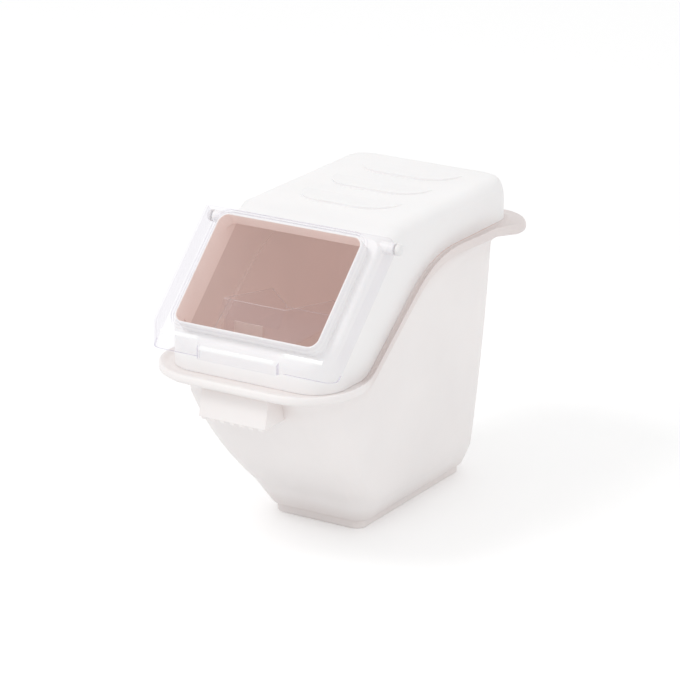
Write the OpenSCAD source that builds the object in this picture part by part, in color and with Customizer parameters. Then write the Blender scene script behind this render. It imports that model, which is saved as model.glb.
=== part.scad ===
// Shelf ingredient bin: tapered bin, lift-off hood, clear hinged lid and clear scoop.
// Millimetres, +Z up, front towards -Y, origin under the middle of the overall box.

/* [Bin] */
// Length over the rolled flange, front to rear
flange_l = 549; // [500:1:600]
// Width over the rolled flange
flange_w = 292; // [270:1:320]
// Height of the hood seat at the front
front_rim_h = 248; // [220:1:280]
// Rise of the hood seat from front to rear
rim_rise = 120; // [110:1:126]
// Steepest slope of the hood seat, in degrees
ramp_angle = 37; // [34:1:42]
// Start of the rise, measured from the front of the flange
ramp_start = 113; // [106:1:120]
// Radius of the bend at the foot of the rise
ramp_low_r = 45; // [30:1:60]
// Radius of the bend at the head of the rise
ramp_high_r = 190; // [160:1:210]
// Thickness of the bin wall
wall_t = 4; // [3:0.5:5]
// Thickness of the bin floor above the plinth
floor_t = 4; // [3:0.5:8]
// Width of the bin just above its rounded foot
low_w = 190; // [180:1:200]
// Height of the rounded foot of the wall
foot_round_h = 34; // [26:1:42]
// Run of the front wall from the foot to the front rim
front_run = 146; // [136:1:152]
// Lean of the rear wall from the foot to the rear rim
rear_run = 7; // [3:1:12]
// Height of the rolled flange edge
lip_h = 7.5; // [6:0.5:10]
// Height of the bead round the hood seat
bead_h = 5; // [3:0.5:6]
// Overhang of the flange in front of the front wall
front_overhang = 34.5; // [34:0.5:38]
// Overhang of the flange behind the rear wall
rear_overhang = 66; // [62:0.5:72]
// Amount by which the flange droops towards its rear edge
rear_droop = 14; // [8:0.5:16]
// Amount by which the flange draws in along the rise
flange_pinch = 9; // [4:0.5:12]

/* [Plinth] */
// Width of the plinth
plinth_w = 138; // [128:1:148]
// Height of the plinth
plinth_h = 14; // [10:0.5:18]
// Distance from the rear of the flange to the rear of the plinth
plinth_back = 78; // [75:1:84]
// Distance from the foot of the front wall back to the front of the plinth
plinth_set = 26.5; // [18:0.5:34]

/* [Front grip] */
// Width of the grip under the front flange
grip_w = 101; // [86:1:120]
// Height of the grip
grip_h = 40; // [34:1:46]
// Amount by which the grip leans out at its foot
grip_lean = 9; // [4:0.5:12]
// Thickness of the grip's walls
grip_t = 3; // [2:0.5:4]
// Number of teeth along the foot of the grip
grip_teeth = 7; // [5:1:9]

/* [Hood] */
// Height of the hood's flat top above the rear of its seat
hood_rise = 59; // [52:1:70]
// Distance from each side of the flange to the hood
hood_inset = 20; // [18:0.5:24]
// Thickness of the hood wall
hood_t = 3; // [2.5:0.5:4]
// Gap between the hood and the bead round its seat
seat_clear = 2.5; // [1.5:0.5:3]
// Distance from the front of the flange to the front of the hood
hood_front = 33; // [32:0.5:34]
// Distance from the rear of the flange to the rear of the hood
hood_back = 37; // [33:0.5:42]
// Amount by which each side of the hood draws in towards the top
hood_draft = 2.8; // [2.4:0.1:2.9]
// Radius of the hood's rear corners, seen from above
hood_rear_r = 40; // [30:1:50]
// Radius of the hood's front corners, seen from above
hood_front_r = 45; // [36:1:50]
// Radius of the hood's rounded top edges
hood_edge_r = 18; // [12:1:22]
// Height of the stepped pads on the hood's top
pad_h = 3; // [2:0.5:3.5]
// Width of the stepped pads
pad_w = 148; // [120:1:170]
// Number of stepped pads
pad_count = 3; // [2:1:3]

/* [Lid] */
// Slope of the lid, in degrees
lid_angle = 44.5; // [43:0.5:46]
// Overhang of the lid on each side of the hood
lid_over = 15; // [12:0.5:18]
// Height of the lid's front lip above the hood seat
lip_rise = 24.5; // [20:0.5:30]
// Wall of the lid
lid_t = 2.5; // [2:0.25:3]
// Depth of the lid's side skirts
skirt_h = 25; // [22:0.5:27]
// Height of the lid's front lip
lip_drop = 24; // [21:0.5:28]
// Height of the raised window panel
panel_h = 10; // [9.5:0.5:12]
// Width of the pull in the middle of the front lip
pull_w = 123; // [100:1:140]
// Reach of the pull beyond the front lip
pull_reach = 13; // [9:0.5:15]
// Width of the hood's frame on each side of the window opening
window_side = 19; // [18:0.5:24]
// Width of the hood's frame below the window opening
window_foot = 17.5; // [16:0.5:22]
// Height of the collar round the window opening
collar_h = 20; // [18:0.5:20.5]
// Depth of the liners along the sides of the window opening
liner_h = 17; // [12:0.5:20]
// Depth of the hood's front frame under the lid
frame_depth = 14; // [13:0.5:15]

/* [Hinge] */
// Diameter of the pin where the lid turns
pin_d = 8; // [7:0.5:9]
// Diameter of the pin's shank in the hood
shank_d = 6; // [5:0.5:6.5]
// Diameter of the pin's head
head_d = 16; // [13:0.5:19]
// Radial clearance of the lid on its pin
pin_clear = 0.05; // [0.02:0.01:0.1]

/* [Scoop] */
// Width of the scoop
scoop_w = 98; // [80:1:110]
// Length of the scoop's bowl
scoop_l = 150; // [125:1:165]
// Height of the scoop's closed end
scoop_h = 55; // [46:1:60]
// Wall of the scoop
scoop_t = 2; // [1.5:0.25:2.5]
// Length of the flap that hooks the scoop in place
flap_l = 26; // [20:1:30]

/* [Hidden] */
$fn = 48;
overrun = 1;
fit_gap = 0.3;
seat_gap = 0.4;

// Whole-part places
front_y = -flange_l / 2;
rear_y = flange_l / 2;
rear_rim_h = front_rim_h + rim_rise;
hood_top_h = rear_rim_h + hood_rise;
hood_w = flange_w - 2 * hood_inset;

// Bin wall: outlines are [half width, front, rear, front corner radius, rear corner radius]
low_h = plinth_h + foot_round_h;
rim_step = 1;
high_w = hood_w - 2 * rim_step;
rim_front_y = front_y + front_overhang;
rim_rear_y = rear_y - rear_overhang;
plinth_front_y = rim_front_y + front_run + plinth_set;
plinth_rear_y = rear_y - plinth_back;
plinth_mid_y = (plinth_front_y + plinth_rear_y) / 2;
plinth_r = 16;
foot_grow = 6;
foot_r = 22;
low_front_r = 32;
low_rear_r = 34;
high_front_r = 46;
high_rear_r = 46;
side_bulge_share = 0.4;
foot_round_share = 0.1;
front_bulge_share = 0.55;
plinth_outline = [plinth_w / 2, plinth_front_y, plinth_rear_y, plinth_r, plinth_r];
foot_outline = [plinth_w / 2 + foot_grow, plinth_front_y - foot_grow, plinth_rear_y + foot_grow,
                foot_r, foot_r];

// Flange and hood seat
flange_front_r = 82;
flange_rear_r = 60;
flange_outline = [flange_w / 2, front_y, rear_y, flange_front_r, flange_rear_r];
hood_front_y = front_y + hood_front;
hood_rear_y = rear_y - hood_back;
seat_outline = [hood_w / 2 + seat_clear, hood_front_y - seat_clear, hood_rear_y + seat_clear,
                hood_front_r + seat_clear, hood_rear_r + seat_clear];
flare_front_h = 40;
flare_rear_h = 28;
flare_side_h = 62;
flare_front_l = 60;
flare_rear_l = 150;
droop_l = 90;
bead_share = 0.14;
cove_share = 0.62;
under_share = 0.9;

// Rise of the hood seat: flat, bend, straight, bend, flat
ramp_y0 = front_y + ramp_start;
ramp_y1 = ramp_y0 + ramp_low_r * sin(ramp_angle);
ramp_z1 = front_rim_h + ramp_low_r * (1 - cos(ramp_angle));
ramp_straight = (rim_rise - (ramp_low_r + ramp_high_r) * (1 - cos(ramp_angle))) / sin(ramp_angle);
ramp_y2 = ramp_y1 + ramp_straight * cos(ramp_angle);
ramp_y3 = ramp_y2 + ramp_high_r * sin(ramp_angle);

// Lid plane: the upper face of the lid's flange, from its top edge down the slope
lip_gap = 3.8;
lid_proud = 2;
lid_r = 18;
lid_w = hood_w + 2 * lid_over;
lid_top_z = hood_top_h + lid_proud;
lip_foot_z = front_rim_h + lip_rise;
lid_l = (lid_top_z - lip_foot_z - lip_drop) / sin(lid_angle);
lid_front_y = hood_front_y - lid_t - lip_gap;
lid_top_y = lid_front_y + lid_l * cos(lid_angle);
window_r = 13;
window_head = 11.5;
window_w = hood_w - 2 * window_side;
window_l = lid_l - window_head - window_foot;
window_mid_u = window_head + window_l / 2;
collar_t = 3;
collar_gap = 1.5;
liner_over = 10;
liner_l = window_l - window_r + liner_over;
panel_step_h = 4;
panel_step = 2.5;

// Hinge
pivot_u = 2;
pivot_depth = 26;
pivot_y = lid_top_y - pivot_u * cos(lid_angle) + pivot_depth * sin(lid_angle);
pivot_z = lid_top_z - pivot_u * sin(lid_angle) - pivot_depth * cos(lid_angle);
ear_r = 8;
boss_d = 16;
boss_gap = 0.6;
boss_x = lid_w / 2 - lid_t - boss_gap;
boss_root = 9;
shank_l = boss_x - hood_w / 2 + boss_root;
head_h = 6;
head_round = 2;
shank_gap = 0.02;

// Hood profile places
brow_back = 43.5;
brow_drop = 7;
crease_back = 57.5;
hood_rear_top_r = 26;
slope_edge_r = 7;
band_edge_r = 12;
crease_y = lid_top_y + crease_back;
pad_back = 35;
pad_rear = 25.5;
pad_l_share = 0.8;
pad_r_share = 0.74;
pad_pitch = (hood_rear_y - pad_rear - crease_y - pad_back) / pad_count;
pad_l = pad_l_share * pad_pitch;
pad_r = pad_r_share * pad_l;

// Scoop, and the bracket in the hood that it hangs on
scoop_mid_x = -37;
scoop_ahead = 45;
scoop_rim_rise = 74;
scoop_rim_share = 0.78;
scoop_front_y = lid_top_y - scoop_ahead;
scoop_rim_z = front_rim_h + scoop_rim_rise;
scoop_floor_z = scoop_rim_z - scoop_h;
scoop_r = 5;
scoop_rim_drop = 19;
scoop_rim_l = scoop_rim_share * scoop_l;
scoop_mouth_h = 4;
flap_angle = 54.5;
hook_t = 2.5;
hook_w = 44;
hook_web_w = 36;
hook_share = 0.72;
hook_ahead = hook_share * flap_l * cos(flap_angle);
hook_back_y = scoop_front_y - hook_ahead;
hook_rise = 14;
hook_foot_z = front_rim_h + hook_rise;
hook_top_z = scoop_rim_z - fit_gap - scoop_t / cos(flap_angle)
    - (hook_t + hook_ahead) * tan(flap_angle);

// Blends
function lerp(a, b, t) = a + (b - a) * t;
function smooth(t) = let (c = min(max(t, 0), 1)) c * c * (3 - 2 * c);
function bulge(t, k) = t * (1 + k) - k * t * t;
function inset(x, half, r) = let (d = abs(x) - half + r) d <= 0 ? 0 : r - sqrt(max(0, r * r - d * d));

// Height of the hood seat at a distance along the bin
function seat_z(y) =
    y <= ramp_y0 ? front_rim_h :
    y <= ramp_y1 ? front_rim_h + ramp_low_r - sqrt(pow(ramp_low_r, 2) - pow(y - ramp_y0, 2)) :
    y <= ramp_y2 ? ramp_z1 + (y - ramp_y1) * tan(ramp_angle) :
    y <= ramp_y3 ? rear_rim_h - ramp_high_r + sqrt(pow(ramp_high_r, 2) - pow(ramp_y3 - y, 2)) :
    rear_rim_h;

// 1 along the rise of the seat, 0 at the front and the rear
function along_ramp(y) =
    smooth((y - ramp_y0 + flare_front_l / 2) / flare_front_l)
    * (1 - smooth((y - ramp_y3 + flare_rear_l / 2) / flare_rear_l));

// Droop of the flange's outer edge towards the rear
function droop(y) = rear_droop * smooth((y - hood_rear_y + droop_l) / droop_l);

// Outline of the outer wall at a height
function wall_line(z) =
    let (t = (z - low_h) / (front_rim_h - low_h), s = (z - low_h) / (rear_rim_h - low_h))
    [lerp(low_w, high_w, bulge(s, side_bulge_share)) / 2,
     rim_front_y + front_run * (1 - bulge(t, front_bulge_share)),
     rim_rear_y - rear_run * (1 - s),
     lerp(low_front_r, high_front_r, t),
     lerp(low_rear_r, high_rear_r, s)];
function wall_outline(z) =
    z >= low_h ? wall_line(z) :
    let (d = (low_h - z) / foot_round_h, o = wall_line(low_h),
         straight = lerp(foot_outline, o, 1 - d),
         rounded = lerp(foot_outline, o, lerp(1 - d, sqrt(max(0, 1 - d * d)), foot_round_share)))
    [rounded[0], straight[1], rounded[2], straight[3], rounded[4]];
function inner_outline(z) =
    let (o = wall_outline(z))
    [o[0] - wall_t, o[1] + wall_t, o[2] - wall_t, o[3] - wall_t, o[4] - wall_t];

// Stations round an outline, as [kind, share or angle, side]
corner_steps = 7;
side_steps = 32;
top_steps = 12;
right_stations = concat(
    [for (i = [0 : corner_steps]) [1, -90 + 90 * i / corner_steps, 1]],
    [for (i = [1 : side_steps - 1]) [2, i / side_steps, 1]],
    [for (i = [0 : corner_steps]) [3, 90 * i / corner_steps, 1]]);
right_count = len(right_stations);
stations = concat(
    [[0, 0, 1]],
    right_stations,
    [[4, 0, 1]],
    [for (i = [1 : right_count]) let (s = right_stations[right_count - i]) [s[0], s[1], -1]]);
station_count = len(stations);
function place(s, o) =
    s[0] == 0 ? [0, o[1]] :
    s[0] == 1 ? [s[2] * (o[0] - o[3] + o[3] * cos(s[1])), o[1] + o[3] + o[3] * sin(s[1])] :
    s[0] == 2 ? [s[2] * o[0], lerp(o[1] + o[3], o[2] - o[4], s[1])] :
    s[0] == 3 ? [s[2] * (o[0] - o[4] + o[4] * cos(s[1])), o[2] - o[4] + o[4] * sin(s[1])] :
    [0, o[2]];
function at(p, z) = [p[0], p[1], z];

// Height of the seat at a station, found by stepping to where the wall meets it
function station_top(s, z, steps) =
    steps == 0 ? z : station_top(s, seat_z(place(s, wall_outline(z))[1]), steps - 1);
function first_top(s) = lerp(front_rim_h, rear_rim_h, s[0] > 2 ? 1 : s[1] * (s[0] - 1));
tops = [for (s = stations) station_top(s, first_top(s), top_steps)];

// A place on another outline level with the wall's own place at a station
function level_with(s, o, y, draw_in) =
    s[0] == 2 ? [s[2] * (o[0] - draw_in), y] : place(s, o);

// Closed skin through rings of equal length; each end is a fan round a middle point
module skin(rings, first_mid, last_mid) {
    n = len(rings[0]);
    last = len(rings) - 1;
    points = concat([for (r = rings) each r], [first_mid, last_mid]);
    mids = n * len(rings);
    sides = [for (k = [0 : last - 1]) for (i = [0 : n - 1])
        let (a = k * n + i, b = k * n + (i + 1) % n, c = b + n, d = a + n)
        each [[a, d, c], [a, c, b]]];
    ends = [for (i = [0 : n - 1]) let (j = (i + 1) % n)
        each [[i, j, mids], [last * n + j, last * n + i, mids + 1]]];
    polyhedron(points, concat(sides, ends));
}

// Rectangle with round corners
module round_rect(w, l, r) {
    square([w - 2 * r, l], center = true);
    square([w, l - 2 * r], center = true);
    for (x = [-1, 1], y = [-1, 1])
        translate([x * (w / 2 - r), y * (l / 2 - r)]) circle(r);
}

// Shape drawn across the bin, [y, z], and drawn out to both sides
module across(w, points) {
    rotate([90, 0, 90]) translate([0, 0, -w / 2]) linear_extrude(w) polygon(points);
}

// Frame of the lid: X across, -Y down the slope, +Z out of the lid
module on_lid() {
    translate([0, lid_top_y, lid_top_z]) rotate([lid_angle, 0, 0]) children();
}
function slope(u, w) = [lid_top_y - u * cos(lid_angle) - w * sin(lid_angle),
                        lid_top_z - u * sin(lid_angle) + w * cos(lid_angle)];

// Bin: outer wall, rolled flange, seat and inner wall in one skin, with the front grip
foot_shares = [0, 0.06, 0.2, 0.45, 1];
wall_shares = [0.3, 0.65, 1];
inner_shares = [0.3, 0.65, 1];
flare_angles = [30, 60, 90];
function flare_drop(y) =
    lerp(y < ramp_y2 ? flare_front_h : flare_rear_h, flare_side_h, along_ramp(y));
function flange_ring(out, rise) = [for (i = [0 : station_count - 1])
    let (s = stations[i], y = place(s, wall_outline(tops[i]))[1],
         f = level_with(s, flange_outline, y, flange_pinch * along_ramp(y)),
         h = level_with(s, seat_outline, y, 0))
    at(lerp(f, h, out), tops[i] + rise - droop(f[1]) * (1 - out))];
function flare_ring(angle) = [for (i = [0 : station_count - 1])
    let (s = stations[i], y = place(s, wall_outline(tops[i]))[1],
         f = level_with(s, flange_outline, y, flange_pinch * along_ramp(y)),
         z0 = tops[i] - flare_drop(y), w = place(s, wall_outline(z0)),
         out = under_share * (1 - cos(angle)))
    at(lerp(w, f, out), z0 + (flare_drop(y) - lip_h) * sin(angle) - droop(f[1]) * out)];
bin_rings = concat(
    [[for (s = stations) at(place(s, plinth_outline), 0)],
     [for (s = stations) at(place(s, plinth_outline), plinth_h)]],
    [for (f = foot_shares) let (z = lerp(plinth_h, low_h, f))
        [for (s = stations) at(place(s, wall_outline(z)), z)]],
    [for (f = wall_shares) [for (i = [0 : station_count - 1])
        let (s = stations[i], y = place(s, wall_outline(tops[i]))[1],
             z = lerp(low_h, tops[i] - flare_drop(y), f)) at(place(s, wall_outline(z)), z)]],
    [for (a = flare_angles) flare_ring(a)],
    [flange_ring(0, -lip_h / 2), flange_ring(0, bead_h / 2), flange_ring(bead_share, bead_h),
     flange_ring(cove_share, bead_h / 5), flange_ring(1, 0)],
    [for (f = concat([0], inner_shares)) [for (i = [0 : station_count - 1])
        let (z = lerp(tops[i], low_h, f)) at(place(stations[i], inner_outline(z)), z)]],
    [for (f = [0.5, 0.2]) let (z = lerp(plinth_h + floor_t, low_h, f))
        [for (s = stations) at(place(s, inner_outline(z)), z)]],
    [[for (s = stations) at(place(s, inner_outline(plinth_h + floor_t)), plinth_h + floor_t)]]);

grip_back = 16;
grip_top_z = front_rim_h - lip_h;
grip_foot_z = grip_top_z - grip_h;
grip_front_y = front_y + grip_back;
tooth_h = 3;
tooth_inset = 0.6;
function front_wall_y(z) = wall_outline(z)[1];
module grip() {
    plate = [[grip_front_y, grip_top_z], [grip_front_y - grip_lean, grip_foot_z],
             [grip_front_y - grip_lean + grip_t, grip_foot_z], [grip_front_y + grip_t, grip_top_z]];
    cheek = [[grip_front_y, grip_top_z], [grip_front_y - grip_lean, grip_foot_z],
             [front_wall_y(grip_foot_z) + wall_t / 2, grip_foot_z],
             [front_wall_y(grip_top_z) + wall_t / 2, grip_top_z]];
    tooth = [[grip_front_y - grip_lean + tooth_inset, grip_foot_z - tooth_h],
             [grip_front_y - grip_lean + grip_t - tooth_inset, grip_foot_z - tooth_h],
             [grip_front_y - grip_lean + grip_t - tooth_inset, grip_foot_z + overrun],
             [grip_front_y - grip_lean + tooth_inset, grip_foot_z + overrun]];
    pitch = grip_w / grip_teeth;
    across(grip_w, plate);
    for (side = [-1, 1])
        translate([side * (grip_w - grip_t) / 2, 0, 0]) across(grip_t, cheek);
    for (i = [0 : grip_teeth - 1])
        translate([(i + 0.5) * pitch - grip_w / 2, 0, 0]) across(pitch / 2, tooth);
}
module bin_body() {
    color([0.95, 0.93, 0.92]) {
        skin(bin_rings, [0, plinth_mid_y, 0], [0, plinth_mid_y, plinth_h + floor_t]);
        grip();
    }
}

// Hood: sections across the bin, each a closed profile from the seat up over the top
section_angles = [0, 18, 36, 52, 66, 78, 90];
section_count = len(section_angles);
bottom_steps = 48;
round_steps = 5;
function section_xs(half, r) =
    let (right = [for (a = section_angles) half - r + r * sin(a)])
    concat([for (i = [1 : section_count]) -right[section_count - i]], right);
function frame_z(y, depth) = lid_top_z + (y - lid_top_y) * tan(lid_angle) - depth / cos(lid_angle);
function frame_y(z, depth) = lid_top_y + (z - lid_top_z + depth / cos(lid_angle)) / tan(lid_angle);
function hood_profile(x, t, sink) =
    let (half = hood_w / 2 - t,
         f = hood_front_y + t + inset(x, half, hood_front_r - t),
         r = hood_rear_y - t - inset(x, half, hood_rear_r - t),
         e = inset(x, half, hood_edge_r - t),
         depth = frame_depth + t + inset(x, half, slope_edge_r - t),
         top = hood_top_h - t - e,
         shelf_z = lid_top_z - frame_depth * cos(lid_angle) - t - e,
         brow_z = max(hood_top_h - brow_drop - t - e, shelf_z + fit_gap),
         q = hood_rear_top_r - t)
    concat(
        [for (i = [0 : bottom_steps])
            let (y = lerp(f, r, i / bottom_steps)) [y, seat_z(y) + seat_gap - sink]],
        [for (i = [0 : round_steps])
            let (a = 90 * i / round_steps) [r - q + q * cos(a), top - q + q * sin(a)]],
        [[crease_y + t / 2, top],
         [lid_top_y + brow_back + t / 2, brow_z],
         [frame_y(shelf_z, depth), shelf_z],
         [f + band_edge_r, frame_z(f + band_edge_r, depth)],
         [f + band_edge_r / 4, frame_z(f + band_edge_r / 8, depth)],
         [f, frame_z(f - band_edge_r / 2, depth)]]);
function hood_side(x, z) =
    x * (1 - 2 * hood_draft / hood_w * (z - front_rim_h) / (hood_top_h - front_rim_h));
function hood_rings(t, sink) =
    [for (x = section_xs(hood_w / 2 - t, hood_front_r - t))
        [for (p = hood_profile(x, t, sink)) [hood_side(x, p[1]), p[0], p[1]]]];
module hood_skin(t, sink) {
    y = ramp_y3 / 2;
    z = lerp(rear_rim_h, hood_top_h, 1 / 3);
    x = hood_side(hood_w / 2 - t, z);
    skin(hood_rings(t, sink), [-x, y, z], [x, y, z]);
}
module hood_shell() {
    difference() {
        hood_skin(0, 0);
        hood_skin(hood_t, hood_edge_r);
    }
}
module pad(y) {
    intersection() {
        translate([0, y + pad_l, hood_top_h - overrun])
            linear_extrude(pad_h + overrun) round_rect(pad_w, 2 * pad_l, pad_r);
        across(pad_w, [[y, hood_top_h - overrun], [y + pad_l, hood_top_h - overrun],
                       [y + pad_l, hood_top_h], [y, hood_top_h + pad_h]]);
    }
}
module window_shape(grow) {
    round_rect(window_w + grow, window_l + grow, window_r + grow / 2);
}
module in_window(z) {
    on_lid() translate([0, -window_mid_u, z]) children();
}
module at_pivot(x) {
    translate([x, pivot_y, pivot_z]) rotate([0, 90, 0]) children();
}
module hook() {
    translate([scoop_mid_x, 0, 0]) {
        across(hook_web_w, [[hood_front_y + hood_t / 2, hook_foot_z], [hook_back_y, hook_foot_z],
                            [hook_back_y, hook_foot_z + hook_t],
                            [hood_front_y + hood_t / 2, hook_foot_z + hook_t]]);
        across(hook_w, [[hook_back_y - hook_t, hook_foot_z], [hook_back_y, hook_foot_z],
                        [hook_back_y, hook_top_z], [hook_back_y - hook_t, hook_top_z]]);
    }
}
module hood() {
    color([0.97, 0.96, 0.96]) difference() {
        union() {
            hood_shell();
            in_window(-frame_depth - hood_t / 2) linear_extrude(collar_h + hood_t / 2)
                window_shape(2 * collar_t);
            for (side = [-1, 1])
                in_window(-frame_depth - hood_t - liner_h)
                    linear_extrude(liner_h + hood_t / 2)
                        translate([side * ((window_w + collar_t) / 2 + fit_gap), (window_r + liner_over) / 2])
                            square([collar_t, liner_l], center = true);
            for (x = [-boss_x, boss_x - shank_l])
                at_pivot(x) cylinder(h = shank_l, d = boss_d);
            for (i = [0 : pad_count - 1])
                pad(crease_y + pad_back + i * pad_pitch);
            hook();
        }
        in_window(-frame_depth - hood_t - collar_h)
            linear_extrude(3 * collar_h) window_shape(0);
        at_pivot(-boss_x - overrun)
            cylinder(h = 2 * (boss_x + overrun), d = shank_d + 2 * shank_gap);
    }
}

// Lid: a clear box-shaped cover, open at its top edge, with a raised panel over the window
skirt_foot_u = (lid_top_z - skirt_h * cos(lid_angle) - lip_foot_z) / sin(lid_angle);
wall_shift = (1 - sin(lid_angle)) / cos(lid_angle);
panel_inner = 2 * (collar_t + collar_gap);
panel_outer = panel_inner + 2 * lid_t;
pull_u = lid_l + pull_reach;
pull_y = lid_top_y - pull_u * cos(lid_angle);
module lid_plan(t) {
    l = lid_l + 2 * skirt_h;
    translate([0, lid_front_y + t + l / 2, 0])
        linear_extrude(2 * lid_top_z) round_rect(lid_w - 2 * t, l, lid_r - t);
}
module lid_outside() {
    intersection() {
        lid_plan(0);
        across(lid_w, [slope(0, 0), slope(lid_l, 0), [lid_front_y, lip_foot_z],
                       slope(skirt_foot_u, -skirt_h), slope(0, -skirt_h)]);
    }
    across(pull_w, [slope(lid_l - lid_t, 0), slope(pull_u, 0), [pull_y, lip_foot_z],
                    [lid_front_y + lid_t, lip_foot_z]]);
}
module lid_inside() {
    intersection() {
        lid_plan(lid_t);
        across(lid_w, [slope(-overrun, -lid_t), slope(lid_l - wall_shift * lid_t, -lid_t),
                       [lid_front_y + lid_t, lip_foot_z - overrun],
                       slope(skirt_foot_u, -2 * skirt_h), slope(-overrun, -2 * skirt_h)]);
    }
    across(pull_w - 2 * lid_t,
        [slope(lid_l - 3 * lid_t, -lid_t), slope(pull_u - wall_shift * lid_t, -lid_t),
         [pull_y + lid_t, lip_foot_z - overrun], [lid_front_y + 2 * lid_t, lip_foot_z - overrun]]);
}
module window_lid() {
    color([0.86, 0.88, 0.94, 0.5]) difference() {
        union() {
            lid_outside();
            in_window(-lid_t) linear_extrude(lid_t + panel_h) window_shape(panel_outer);
            in_window(-lid_t) linear_extrude(lid_t + panel_step_h)
                window_shape(panel_outer + 2 * panel_step);
            for (side = [-1, 1])
                at_pivot(side < 0 ? -lid_w / 2 : lid_w / 2 - lid_t) cylinder(h = lid_t, r = ear_r);
        }
        lid_inside();
        in_window(-2 * lid_t) linear_extrude(panel_h + lid_t) window_shape(panel_inner);
        in_window(-2 * lid_t) linear_extrude(panel_step_h + lid_t)
            window_shape(panel_inner + 2 * panel_step);
        at_pivot(-lid_w) cylinder(h = 2 * lid_w, d = pin_d + 2 * pin_clear);
    }
}

// Hinge pins: shank held in the hood's boss, shoulder in the lid's ear, head outside
shoulder_l = lid_t + boss_gap + fit_gap;
module pivot() {
    color([0.93, 0.91, 0.90]) {
        at_pivot(boss_x - shank_l) cylinder(h = shank_l, d = shank_d);
        at_pivot(boss_x) cylinder(h = shoulder_l, d = pin_d);
        at_pivot(boss_x + shoulder_l) cylinder(h = head_h - head_round, d = head_d);
        at_pivot(boss_x + shoulder_l + head_h - head_round)
            cylinder(h = head_round, d1 = head_d, d2 = head_d - 2 * head_round);
    }
}
module lid_pivot_right() {
    pivot();
}
module lid_pivot_left() {
    mirror([1, 0, 0]) pivot();
}

// Scoop: a clear bowl open at its rear end, with a flap that hooks over the bracket
function scoop_side(t, over) = [
    [scoop_front_y + t, scoop_floor_z + t], [scoop_front_y + t, scoop_rim_z + over],
    [scoop_front_y + scoop_rim_l, scoop_rim_z - scoop_rim_drop + over],
    [scoop_front_y + scoop_l + over, scoop_floor_z + scoop_mouth_h + over],
    [scoop_front_y + scoop_l + over, scoop_floor_z + t]];
module scoop_bowl(t, over) {
    l = 2 * scoop_l;
    intersection() {
        translate([0, scoop_front_y + t + l / 2, 0])
            linear_extrude(2 * scoop_rim_z) round_rect(scoop_w - 2 * t, l, scoop_r - t);
        across(scoop_w, scoop_side(t, over));
    }
}
module flap() {
    run = flap_l * cos(flap_angle);
    drop = flap_l * sin(flap_angle);
    under = [scoop_t * sin(flap_angle), -scoop_t * cos(flap_angle)];
    edge = [[scoop_front_y, scoop_rim_z], [scoop_front_y - run, scoop_rim_z - drop]];
    across(scoop_w - 2 * scoop_t, [edge[0], edge[1], edge[1] + under, edge[0] + under]);
}
module scoop() {
    color([0.86, 0.88, 0.92, 0.5]) translate([scoop_mid_x, 0, 0]) {
        difference() {
            scoop_bowl(0, 0);
            scoop_bowl(scoop_t, scoop_h);
        }
        flap();
    }
}

bin_body();
hood();
window_lid();
lid_pivot_left();
lid_pivot_right();
scoop();
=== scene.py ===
"""A shelf flour bin: moulded bin, lift-off hood, clear lid on two pins and a clear scoop."""

import math
from collections import namedtuple

import bmesh
import bpy
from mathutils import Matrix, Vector


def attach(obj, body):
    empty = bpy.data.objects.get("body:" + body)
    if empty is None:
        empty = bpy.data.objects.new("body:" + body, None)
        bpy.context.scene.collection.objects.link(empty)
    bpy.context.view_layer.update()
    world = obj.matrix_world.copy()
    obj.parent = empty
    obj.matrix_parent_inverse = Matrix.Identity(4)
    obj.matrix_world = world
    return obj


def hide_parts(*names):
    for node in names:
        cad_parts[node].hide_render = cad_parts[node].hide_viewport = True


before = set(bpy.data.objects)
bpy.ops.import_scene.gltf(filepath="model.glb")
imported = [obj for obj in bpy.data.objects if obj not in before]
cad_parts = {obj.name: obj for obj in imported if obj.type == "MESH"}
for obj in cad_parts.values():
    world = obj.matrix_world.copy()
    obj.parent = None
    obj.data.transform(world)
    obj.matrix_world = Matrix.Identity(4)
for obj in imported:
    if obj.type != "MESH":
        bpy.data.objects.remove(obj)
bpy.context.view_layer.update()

# Sizes in millimetres, angles in degrees and shares, most of them as in the part's source
MM = 0.001
FLANGE_L = 549.0
FLANGE_W = 292.0
FRONT_RIM_H = 248.0
RIM_RISE = 120.0
RAMP_ANGLE = 37.0
RAMP_START = 113.0
RAMP_LOW_R = 45.0
RAMP_HIGH_R = 190.0
WALL_T = 4.0
FLOOR_T = 4.0
LOW_W = 190.0
FOOT_ROUND_H = 34.0
FRONT_RUN = 146.0
REAR_RUN = 7.0
LIP_H = 7.5
BEAD_H = 5.0
FRONT_OVERHANG = 34.5
REAR_OVERHANG = 66.0
REAR_DROOP = 14.0
FLANGE_PINCH = 9.0
PLINTH_W = 138.0
PLINTH_H = 14.0
PLINTH_BACK = 78.0
PLINTH_SET = 26.5
PLINTH_R = 16.0
PLINTH_EDGE = 1.5
FOOT_GROW = 6.0
FOOT_R = 22.0
LOW_FRONT_R = 32.0
LOW_REAR_R = 34.0
HIGH_FRONT_R = 46.0
HIGH_REAR_R = 46.0
RIM_STEP = 1.0
SIDE_BULGE_SHARE = 0.4
FRONT_BULGE_SHARE = 0.55
FOOT_ROUND_SHARE = 0.1
FLANGE_FRONT_R = 82.0
FLANGE_REAR_R = 60.0
FLARE_FRONT_H = 40.0
FLARE_REAR_H = 28.0
FLARE_SIDE_H = 62.0
FLARE_FRONT_L = 60.0
FLARE_REAR_L = 150.0
FLARE_TURN = 90.0
DROOP_L = 90.0
BEAD_SHARE = 0.14
COVE_SHARE = 0.62
COVE_RISE_SHARE = 0.2
UNDER_SHARE = 0.9
GRIP_W = 101.0
GRIP_H = 40.0
GRIP_LEAN = 9.0
GRIP_T = 3.0
GRIP_TEETH = 7
GRIP_BACK = 16.0
GRIP_EDGE = 0.7
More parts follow.
